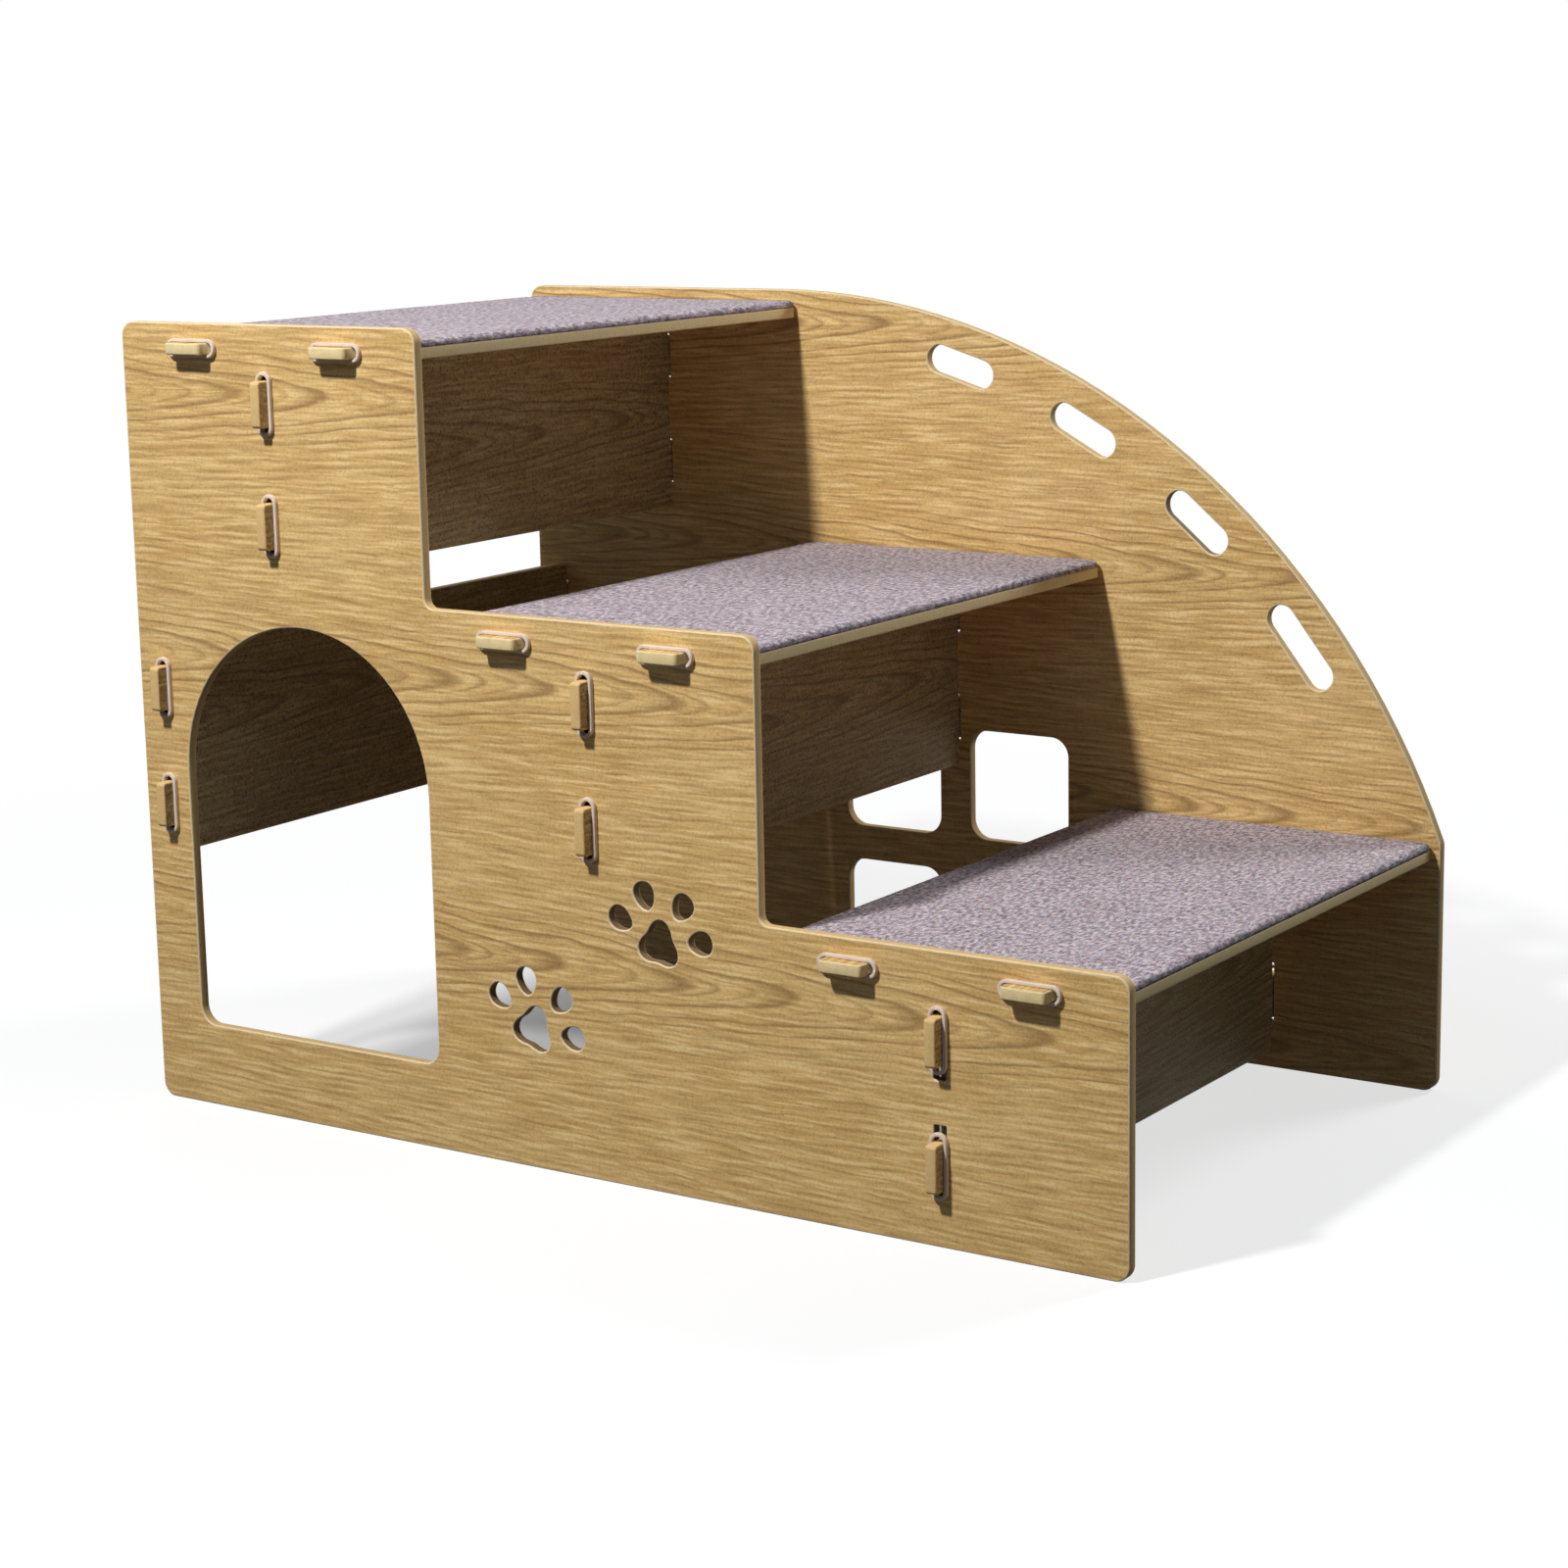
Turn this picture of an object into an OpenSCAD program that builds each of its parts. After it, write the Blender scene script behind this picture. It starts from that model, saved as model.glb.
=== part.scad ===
// Three-step pet stairs with a hideaway under the steps.
// Treads and cross boards end in tongues that pass through slots in the two side panels,
// and an oval collar outside the panel locks each tongue. Carpets lie on the treads.
// X runs from the high rear end to the low front end, Y from the stepped panel to the
// arched panel and Z up. The origin lies on the floor under the middle of the stairs.

/* [Stairs] */
// Length of the stairs, which the three steps share equally
stairs_l = 600; // [570:3:690]
// Height of the stairs
stairs_h = 424; // [416:2:480]
// Height of the lowest step edge of the stepped panel
first_rise = 144; // [140:1:152]
// Clear width between the two side panels
clear_w = 345; // [250:1:450]
// Thickness of every board
board_t = 6; // [5:0.5:8]

/* [Treads] */
// Distance that a tread stays back from each end of its step
tread_inset = 4.5; // [2:0.5:10]
// Radius of a tread's corners in plan
tread_corner_r = 5; // [2:1:10]
// Spacing of the two tongues at each end of a tread
tread_tongue_pitch = 98.6; // [80:0.2:120]
// Thickness of a carpet
carpet_t = 4; // [2:0.5:8]
// Depth of a carpet's top under the edge of the stepped panel
carpet_drop = 6; // [2:0.5:10]
// Gap between a carpet and each side panel
carpet_side_gap = 0.5; // [0.3:0.1:3]

/* [Cross boards] */
// Height of the rear rail and of the two upper risers
riser_h = 115; // [105:1:130]
// Distance from the rear edge to the middle of the rear rail
rear_rail_x = 18; // [14:1:22]
// Height of the rear rail's lower edge over the floor
rear_rail_z = 139; // [100:1:150]
// Depth of the upper tongue's middle under the top of a cross board
tongue_drop = 24.5; // [16:0.5:28]
// Spacing of the two tongues at each end of a cross board
tongue_pitch = 63; // [50:0.5:70]
// Gap between the bottom riser and the floor
bottom_riser_lift = 10; // [2:0.5:16]
// Depth of the bottom riser's upper tongue under its top
bottom_tongue_drop = 26.6; // [20:0.2:30]
// Spacing of the bottom riser's tongues
bottom_tongue_pitch = 61.2; // [54:0.2:68]

/* [Tongues and collars] */
// Width of a tongue
tongue_w = 24; // [18:1:28]
// Length of a tongue outside the side panel
tongue_out = 9; // [6:0.5:14]
// Radius of the corners of a tongue's tip
tongue_tip_r = 2; // [0.5:0.5:4]
// Gap between a slot and each broad face of its tongue
slot_fit = 0.5; // [0.1:0.1:1]
// Length of the bottom riser's longer slots
long_slot_l = 34.5; // [31:0.5:38]
// Radius of the longer slots' corners
long_slot_r = 1; // [0.5:0.5:2.5]
// Distance that the long slots are moved towards each other
long_slot_shift = 2.4; // [0.5:0.1:4]
// Wall of a collar
collar_wall = 1.8; // [1.2:0.1:3]
// Depth of a collar
collar_depth = 2.5; // [1.5:0.5:5]
// Gap between a collar and each broad face of the tongue
collar_fit = 0.1; // [0.05:0.05:0.4]
// Open length of a slot and its collar at each end of the tongue
collar_end_gap = 2.8; // [1:0.1:5]

/* [Stepped panel] */
// Radius of the panel's outer corners
panel_corner_r = 8; // [3:1:12]
// Radius of the fillet where a step edge meets the next rise
step_fillet_r = 5; // [2:1:10]
// Distance from the rear edge to the door
door_inset = 31.5; // [29:0.5:40]
// Width of the arched door
door_w = 166; // [120:1:180]
// Height of the door sill over the floor
door_sill = 45; // [20:1:80]
// Depth of the crown of the door's arch under the middle step edge
door_crown_drop = 16; // [2:1:50]
// Radius of the door's two lower corners
door_corner_r = 10; // [2:1:30]

/* [Paw cut-outs] */
// Distance between the two prints along the stairs
paw_spread = 80; // [74:1:100]
// Height of the middle of the higher print's pad
high_paw_z = 126.7; // [100:0.1:140]
// Height of the middle of the lower print's pad
low_paw_z = 72.9; // [50:0.1:90]
// Mean radius of the pad
pad_r = 10.9; // [8:0.1:12]
// Swell of the pad's three lobes
pad_lobe = 2; // [1:0.1:3]
// Distance from the pad's middle to the middle of each toe
toe_reach = 25.2; // [23:0.2:28]
// Width of a toe
toe_w = 12; // [8:0.5:14]
// Length of a toe
toe_l = 14.5; // [10:0.5:16]

/* [Arched panel] */
// Length of the flat stretch of the panel's top, from the rear edge
flat_top_l = 182; // [120:1:220]
// Height of the panel's front edge
front_h = 137; // [125:1:200]
// Distance from the arched edge to the middle line of the hand slots
grip_inset = 23.5; // [18:0.5:30]
// Width of a hand slot
grip_w = 16; // [10:1:20]
// Length of a hand slot
grip_l = 44; // [32:1:56]
// Length of the lowest hand slot
last_grip_l = 53; // [36:1:64]
// Distance between two hand slots
grip_gap = 41.5; // [30:0.5:54]
// Distance along the slots' middle line from its start to the first slot's middle
first_grip_at = 125; // [100:1:140]
// Side of each window pane
pane_side = 64; // [50:1:72]
// Radius of a pane's corners
pane_corner_r = 11; // [3:1:20]
// Width of the bars between the panes
window_bar = 20.5; // [16:0.5:28]
// Height of the window's lower edge over the floor
window_sill = 25.5; // [15:0.5:50]

/* [Hidden] */

board_colour = [0.80, 0.67, 0.45];
carpet_colour = [0.66, 0.60, 0.65];
collar_colour = [0.93, 0.90, 0.84];

$fn = 48;
// Sides of the wide arch of the far panel
arch_sides = 240;
// Length by which a cut runs past the face that it starts from
overrun = board_t / 4;

// Sides of the stairs
near = -1;
far = 1;

// The steps are numbered from the top one, 0, to the bottom one, 2
step_run = stairs_l / 3;
next_rise = (stairs_h - first_rise) / 2;
step_edges = [stairs_h, first_rise + next_rise, first_rise];
last_step = len(step_edges) - 1;
tread_d = step_run - 2 * tread_inset;
panel_out_y = clear_w / 2 + board_t;

function step_mid(i) = i * step_run + step_run / 2;
function tread_top(i) = step_edges[i] - carpet_drop - carpet_t;
function tread_under(i) = tread_top(i) - board_t;

// Places of the tongues in the panels' plane, as length from the rear edge and height
function tread_places(i) = [
    for (side = [-1, 1])
        [step_mid(i) + side * tread_tongue_pitch / 2, tread_top(i) - board_t / 2]
];
function upright_places(x, board_top, drop, pitch) = [
    [x, board_top - drop],
    [x, board_top - drop - pitch]
];
rear_rail_top = rear_rail_z + riser_h;
rear_rail_places = upright_places(rear_rail_x, rear_rail_top, tongue_drop, tongue_pitch);
top_riser_places = upright_places(step_mid(0), tread_under(0), tongue_drop, tongue_pitch);
middle_riser_places =
    upright_places(step_mid(1), tread_under(1), tongue_drop, tongue_pitch);
bottom_riser_places =
    upright_places(step_mid(2), tread_under(2), bottom_tongue_drop, bottom_tongue_pitch);

// Slots and collars follow the tongue that they hold
slot_l = tongue_w + 2 * collar_end_gap;
slot_w = board_t + 2 * slot_fit;
collar_inner_l = slot_l;
collar_inner_w = board_t + 2 * collar_fit;

// Door and arch of the stepped panel
door_x = door_inset + door_w / 2;
door_spring = step_edges[1] - door_crown_drop - door_w / 2;

// Turn of each toe from the middle of its print, and lean of the two prints, in degrees
toe_turns = [-73, -27, 27, 73];
high_paw_lean = 8.5;
low_paw_lean = 19.5;
// How much a toe narrows towards the pad
toe_taper_share = 0.22;
curve_step = 15;
pad_step = 9;

// The arched edge starts level at the end of the flat top and ends at the front edge
arch_run = stairs_l - flat_top_l;
arch_fall = stairs_h - front_h;
arch_r = (arch_run * arch_run + arch_fall * arch_fall) / (2 * arch_fall);
arch_mid = [flat_top_l, stairs_h - arch_r];
grip_line_r = arch_r - grip_inset;
grip_lengths = [grip_l, grip_l, grip_l, last_grip_l];
// Distance along the middle line from its start to the middle of slot i
function grip_at(i) =
    i == 0 ? first_grip_at : grip_at(i - 1) + grip_gap + (grip_lengths[i - 1] + grip_lengths[i]) / 2;

// Middle of the round corner between the arched edge and the front edge
front_corner_x = stairs_l - panel_corner_r;
front_corner_rise = sqrt(
    pow(arch_r - panel_corner_r, 2) - pow(front_corner_x - arch_mid[0], 2)
);
front_corner = [front_corner_x, arch_mid[1] + front_corner_rise];
window_x = step_mid(1);
pane_pitch = pane_side + window_bar;

// Corner of a square with one round side, drawn in the quarter where x and y are positive.
// Taken away it rounds an outer corner, and added it fills an inner one.
module corner_sliver(r) {
    difference() {
        translate([-overrun, -overrun]) square(r + overrun);
        translate([r, r]) circle(r);
    }
}

module corner_at(place, turn, r) {
    translate(place) rotate(turn) corner_sliver(r);
}

// Rectangle from the origin with four round corners
module rounded_sheet(l, w, r) {
    difference() {
        square([l, w]);
        corner_at([0, 0], 0, r);
        corner_at([l, 0], 90, r);
        corner_at([l, w], 180, r);
        corner_at([0, w], 270, r);
    }
}

// Slot shape with round ends, lying along x about the origin
module stadium(l, w) {
    square([l - w, w], center = true);
    for (side = [-1, 1]) translate([side * (l - w) / 2, 0]) circle(w / 2);
}

// Slots in a side panel for lying tongues and for upright ones
module tread_slots() {
    for (i = [0 : last_step])
        for (place = tread_places(i)) translate(place) stadium(slot_l, slot_w);
}

module upright_slot(place) {
    translate(place) rotate(90) stadium(slot_l, slot_w);
}

module long_slot(place) {
    translate(place - [slot_w, long_slot_l] / 2) rounded_sheet(slot_w, long_slot_l, long_slot_r);
}

module tongue_slots() {
    tread_slots();
    for (places = [rear_rail_places, top_riser_places, middle_riser_places])
        for (place = places) upright_slot(place);
    long_slot(bottom_riser_places[0] - [0, long_slot_shift]);
    long_slot(bottom_riser_places[1] + [0, long_slot_shift]);
}

// Stepped panel, drawn with its rear lower corner at the origin
module stepped_outline() {
    difference() {
        union() {
            for (i = [0 : last_step]) square([(i + 1) * step_run, step_edges[i]]);
            for (i = [1 : last_step]) corner_at([i * step_run, step_edges[i]], 0, step_fillet_r);
        }
        corner_at([0, 0], 0, panel_corner_r);
        corner_at([stairs_l, 0], 90, panel_corner_r);
        for (i = [0 : last_step])
            corner_at([(i + 1) * step_run, step_edges[i]], 180, panel_corner_r);
        corner_at([0, stairs_h], 270, panel_corner_r);
    }
}

module door_hole() {
    difference() {
        union() {
            translate([door_inset, door_sill]) square([door_w, door_spring - door_sill]);
            translate([door_x, door_spring]) circle(door_w / 2, $fn = arch_sides);
        }
        corner_at([door_inset, door_sill], 0, door_corner_r);
        corner_at([door_inset + door_w, door_sill], 90, door_corner_r);
    }
}

// Egg shape that narrows towards the pad
module toe() {
    polygon([
        for (a = [0 : curve_step : 360 - curve_step])
            [toe_w / 2 * sin(a) * (1 + toe_taper_share * cos(a)), toe_l / 2 * cos(a)]
    ]);
}

// Pad with one lobe up and two below
module pad() {
    polygon([
        for (a = [0 : pad_step : 360 - pad_step])
            (pad_r + pad_lobe * cos(3 * a)) * [sin(a), cos(a)]
    ]);
}

module paw_hole(place, lean) {
    translate(place) rotate(-lean) {
        pad();
        for (turn = toe_turns) rotate(turn) translate([0, toe_reach]) toe();
    }
}

// Arched panel, drawn with its rear lower corner at the origin
module arched_outline() {
    difference() {
        intersection() {
            square([stairs_l, stairs_h]);
            union() {
                square([flat_top_l, stairs_h]);
                translate(arch_mid) circle(arch_r, $fn = arch_sides);
            }
        }
        corner_at([0, 0], 0, panel_corner_r);
        corner_at([stairs_l, 0], 90, panel_corner_r);
        corner_at([0, stairs_h], 270, panel_corner_r);
        front_corner_waste();
    }
}

// What lies outside the round corner between the arched edge and the front edge
module front_corner_waste() {
    way_out = (front_corner - arch_mid) / (arch_r - panel_corner_r);
    difference() {
        polygon([
            front_corner,
            [stairs_l + overrun, front_corner[1]],
            [stairs_l + overrun, front_corner[1] + 2 * panel_corner_r],
            arch_mid + way_out * (arch_r + overrun)
        ]);
        translate(front_corner) circle(panel_corner_r);
    }
}

module grip_holes() {
    for (i = [0 : len(grip_lengths) - 1])
        translate(arch_mid)
            rotate(-grip_at(i) / grip_line_r * 180 / PI)
                translate([0, grip_line_r]) stadium(grip_lengths[i], grip_w);
}

module window_holes() {
    for (side = [-1, 1])
        for (row = [0, 1])
            translate([
                window_x + side * pane_pitch / 2 - pane_side / 2,
                window_sill + row * pane_pitch
            ]) rounded_sheet(pane_side, pane_side, pane_corner_r);
}

// Stands a panel drawn flat upright, with its outer or inner face at y
module stand_panel(y) {
    translate([-stairs_l / 2, y, 0]) rotate([90, 0, 0]) linear_extrude(board_t) children();
}

// Tongue drawn from its root at y = 0, with the tip along y
module tongue() {
    reach = board_t + tongue_out;
    difference() {
        translate([-tongue_w / 2, -board_t]) square([tongue_w, board_t + reach]);
        corner_at([tongue_w / 2, reach], 180, tongue_tip_r);
        corner_at([-tongue_w / 2, reach], 270, tongue_tip_r);
    }
}

// Board drawn flat, l long in x and centred in y, with tongues at both ends of its width
module tongued_board(l, tongue_xs, corner_r) {
    translate([0, -clear_w / 2]) rounded_sheet(l, clear_w, corner_r);
    for (x = tongue_xs) {
        translate([x, clear_w / 2]) tongue();
        translate([x, -clear_w / 2]) mirror([0, 1]) tongue();
    }
}

module tread(i) {
    tongue_xs = [for (side = [-1, 1]) (tread_d + side * tread_tongue_pitch) / 2];
    color(board_colour)
        translate([step_mid(i) - tread_d / 2 - stairs_l / 2, 0, tread_under(i)])
            linear_extrude(board_t) tongued_board(tread_d, tongue_xs, tread_corner_r);
}

module carpet(i) {
    w = clear_w - 2 * carpet_side_gap;
    color(carpet_colour)
        translate([step_mid(i) - tread_d / 2 - stairs_l / 2, -w / 2, tread_top(i)])
            linear_extrude(carpet_t) rounded_sheet(tread_d, w, tread_corner_r);
}

// Upright board across the stairs, h high, whose tongues stand at the given places
module cross_board(places, z, h) {
    color(board_colour)
        translate([places[0][0] + board_t / 2 - stairs_l / 2, 0, z])
            rotate([0, -90, 0])
                linear_extrude(board_t)
                    tongued_board(h, [for (place = places) place[1] - z], tongue_tip_r);
}

module collar_ring() {
    linear_extrude(collar_depth) difference() {
        stadium(collar_inner_l + 2 * collar_wall, collar_inner_w + 2 * collar_wall);
        stadium(collar_inner_l, collar_inner_w);
    }
}

// The rings on one end of a board, turned a quarter for upright tongues
module collars(places, turn, side) {
    y = side == near ? -panel_out_y : panel_out_y + collar_depth;
    color(collar_colour)
        for (place = places)
            translate([place[0] - stairs_l / 2, y, place[1]])
                rotate([90, 0, 0]) rotate(turn) collar_ring();
}

module near_side_panel() {
    color(board_colour) stand_panel(-clear_w / 2) difference() {
        stepped_outline();
        door_hole();
        paw_hole([step_mid(1) + paw_spread / 2, high_paw_z], high_paw_lean);
        paw_hole([step_mid(1) - paw_spread / 2, low_paw_z], low_paw_lean);
        tongue_slots();
    }
}

module far_side_panel() {
    color(board_colour) stand_panel(panel_out_y) difference() {
        arched_outline();
        grip_holes();
        window_holes();
        tongue_slots();
    }
}

module top_tread() tread(0);
module middle_tread() tread(1);
module bottom_tread() tread(2);

module top_carpet() carpet(0);
module middle_carpet() carpet(1);
module bottom_carpet() carpet(2);

module rear_rail() cross_board(rear_rail_places, rear_rail_z, riser_h);
module top_riser() cross_board(top_riser_places, tread_under(0) - riser_h, riser_h);
module middle_riser() cross_board(middle_riser_places, tread_under(1) - riser_h, riser_h);
module bottom_riser() {
    cross_board(bottom_riser_places, bottom_riser_lift, tread_under(2) - bottom_riser_lift);
}

module top_tread_near_collars() collars(tread_places(0), 0, near);
module top_tread_far_collars() collars(tread_places(0), 0, far);
module middle_tread_near_collars() collars(tread_places(1), 0, near);
module middle_tread_far_collars() collars(tread_places(1), 0, far);
module bottom_tread_near_collars() collars(tread_places(2), 0, near);
module bottom_tread_far_collars() collars(tread_places(2), 0, far);
module rear_rail_near_collars() collars(rear_rail_places, 90, near);
module rear_rail_far_collars() collars(rear_rail_places, 90, far);
module top_riser_near_collars() collars(top_riser_places, 90, near);
module top_riser_far_collars() collars(top_riser_places, 90, far);
module middle_riser_near_collars() collars(middle_riser_places, 90, near);
module middle_riser_far_collars() collars(middle_riser_places, 90, far);
module bottom_riser_near_collars() collars(bottom_riser_places, 90, near);
module bottom_riser_far_collars() collars(bottom_riser_places, 90, far);

near_side_panel();
far_side_panel();
top_tread();
middle_tread();
bottom_tread();
top_carpet();
middle_carpet();
bottom_carpet();
rear_rail();
top_riser();
middle_riser();
bottom_riser();
top_tread_near_collars();
top_tread_far_collars();
middle_tread_near_collars();
middle_tread_far_collars();
bottom_tread_near_collars();
bottom_tread_far_collars();
rear_rail_near_collars();
rear_rail_far_collars();
top_riser_near_collars();
top_riser_far_collars();
middle_riser_near_collars();
middle_riser_far_collars();
bottom_riser_near_collars();
bottom_riser_far_collars();
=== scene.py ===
# Pet stairs with a hideaway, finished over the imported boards, carpets and collars
import math

import bmesh
import bpy
from mathutils import Matrix, Vector, noise
from mathutils.geometry import tessellate_polygon


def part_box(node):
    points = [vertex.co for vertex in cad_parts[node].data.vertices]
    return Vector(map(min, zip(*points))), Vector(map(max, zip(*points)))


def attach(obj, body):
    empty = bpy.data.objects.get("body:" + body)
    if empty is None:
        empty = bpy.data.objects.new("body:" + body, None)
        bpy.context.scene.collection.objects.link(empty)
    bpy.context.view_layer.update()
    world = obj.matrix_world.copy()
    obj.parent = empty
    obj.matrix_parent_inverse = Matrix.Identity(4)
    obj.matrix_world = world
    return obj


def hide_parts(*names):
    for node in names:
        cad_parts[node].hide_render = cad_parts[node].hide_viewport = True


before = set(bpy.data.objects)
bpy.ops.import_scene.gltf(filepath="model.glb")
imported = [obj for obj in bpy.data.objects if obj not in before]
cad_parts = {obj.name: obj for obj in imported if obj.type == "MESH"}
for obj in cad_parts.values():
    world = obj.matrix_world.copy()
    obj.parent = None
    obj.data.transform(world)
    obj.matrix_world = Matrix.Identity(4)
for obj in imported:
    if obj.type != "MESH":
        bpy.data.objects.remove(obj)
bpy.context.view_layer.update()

print("stairs: packed model loaded with", len(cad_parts), "nodes")


def newObject(name, data):
    obj = bpy.data.objects.new(name, data)
    bpy.context.collection.objects.link(obj)
    return obj


# Camera at the photograph's place
camera = {
    "place": (0.98204, -1.46711, 0.52785),
    "aim": (0.00169, -0.0085, 0.17347),
    "roll": -0.019229,     # radians
    "lens": 77.02,         # mm
    "sensor": 36,          # its width, mm
    "reach": (0.05, 60),   # nearest and farthest things seen, metres
}


def makeCamera():
    data = bpy.data.cameras.new("camera")
    data.sensor_width = camera["sensor"]
    data.lens = camera["lens"]
    data.clip_start, data.clip_end = camera["reach"]
    obj = newObject("camera", data)
    place = Vector(camera["place"])
    ahead = (Vector(camera["aim"]) - place).normalized()
    right = ahead.cross(Vector((0, 0, 1))).normalized()
    up = right.cross(ahead)
    roll = camera["roll"]
    right = right * math.cos(roll) + up * math.sin(roll)
    up = right.cross(ahead)
    turn = Matrix((right, up, -ahead)).transposed().to_4x4()
    obj.matrix_world = Matrix.Translation(place) @ turn
    bpy.context.scene.camera = obj


makeCamera()
print("stairs: camera set")


# Small helpers for node trees
def addNode(tree, kind, **settings):
    node = tree.nodes.new(kind)
    for name, value in settings.items():
        setattr(node, name, value)
    return node


def plug(tree, value, socket):
    if isinstance(value, bpy.types.NodeSocket):
        tree.links.new(value, socket)
    else:
        socket.default_value = value


def calc(tree, operation, *values, clamp=False):
    node = addNode(tree, "ShaderNodeMath", operation=operation, use_clamp=clamp)
    for value, socket in zip(values, node.inputs):
        plug(tree, value, socket)
    return node.outputs[0]


def joinXyz(tree, x, y, z):
    node = addNode(tree, "ShaderNodeCombineXYZ")
    for value, socket in zip((x, y, z), node.inputs):
        plug(tree, value, socket)
    return node.outputs[0]


def splitXyz(tree, vector):
    node = addNode(tree, "ShaderNodeSeparateXYZ")
    tree.links.new(vector, node.inputs[0])
    return node.outputs


def stretch(tree, parts, counts):
    # A place with its own count per metre in each direction, for noise that runs with the grain
    return joinXyz(tree, *(calc(tree, "MULTIPLY", part, count) for part, count in zip(parts, counts)))


def noiseAt(tree, vector, scale=1.0, detail=2.0, roughness=0.5):
    node = addNode(tree, "ShaderNodeTexNoise")
    tree.links.new(vector, node.inputs["Vector"])
    node.inputs["Scale"].default_value = scale
    node.inputs["Detail"].default_value = detail
    node.inputs["Roughness"].default_value = roughness
    return node.outputs["Fac"]


def ramp(tree, value, stops):
    # stops are (place, grey)
    node = addNode(tree, "ShaderNodeValToRGB")
    marks = node.color_ramp.elements
    while len(marks) < len(stops):
        marks.new(1.0)
    for mark, (place, grey) in zip(marks, stops):
        mark.position = place
        mark.color = (grey, grey, grey, 1)
    tree.links.new(value, node.inputs[0])
    return node.outputs[0]


def darker(colour, share):
    return tuple(part * share for part in colour[:3]) + (1,)


def mixColour(tree, share, first, second):
    node = addNode(tree, "ShaderNodeMix", data_type="RGBA")
    plug(tree, share, node.inputs[0])
    plug(tree, first, node.inputs[6])
    plug(tree, second, node.inputs[7])
    return node.outputs[2]


def newGroup(name, inputs, outputs):
    tree = bpy.data.node_groups.new(name, "ShaderNodeTree")
    for title, kind, value in inputs:
        socket = tree.interface.new_socket(name=title, in_out="INPUT", socket_type=kind)
        socket.default_value = value
    for title, kind in outputs:
        tree.interface.new_socket(name=title, in_out="OUTPUT", socket_type=kind)
    start = addNode(tree, "NodeGroupInput")
    end = addNode(tree, "NodeGroupOutput")
    return tree, start.outputs, end.inputs


def useGroup(tree, group, **values):
    # values are named by the group's sockets, with the spaces taken out
    node = addNode(tree, "ShaderNodeGroup", node_tree=group)
    for socket in node.inputs:
        name = socket.name.replace(" ", "")
        if name in values:
            plug(tree, values[name], socket)
    return node.outputs


def newMaterial(name):
    material = bpy.data.materials.new(name)
    material.use_nodes = True
    tree = material.node_tree
    shader = tree.nodes["Principled BSDF"]
    where = addNode(tree, "ShaderNodeTexCoord").outputs["Object"]
    return material, tree, shader, where


def addBump(tree, height, shader, strength, distance):
    node = addNode(tree, "ShaderNodeBump")
    tree.links.new(height, node.inputs["Height"])
    node.inputs["Strength"].default_value = strength
    node.inputs["Distance"].default_value = distance
    tree.links.new(node.outputs[0], shader.inputs["Normal"])


# Oak print of the boards: rows of nested loops that point along the board, with straight
# grain between the rows. One print is as wide as it is high, and repeats.
oakGrain = {
    # Counts per metre along, across and through the board
    "wander": (16, 44, 1),
    "ripple": (60, 160, 1),
    "breaks": (40, 150, 1),
    "dashes": (30, 560, 1),
    "pores": (340, 2600, 300),
    "clouds": (9, 26, 1),
    # The loops, in parts of a print
    "loopWidth": 0.11,
    "loopReach": 1.9,        # how far a loop trails off beside its axis
    "rowWander": 0.05,
    "rowRipple": 0.008,
    "lineWander": 0.16,
    "dashWander": 0.0022,    # metres
    # Strength of the straight lines on the loops' axis, and what is added beside it
    "axisLine": 0.20,
    "besideLine": 0.70,
    # Share of the pale or dark tone in each mark
    "cloudShare": 0.45,
    "dashShare": 0.30,
    "lineShare": 0.82,
    "poreShare": 0.10,
    # Depth of each mark in parts of the relief, and the print's roughness
    "poreDip": 0.5,
    "dashDip": 0.35,
    "lineDip": 0.3,
    "dull": (0.50, 0.08),    # roughness, and what a cloud or a dash adds
}


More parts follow.
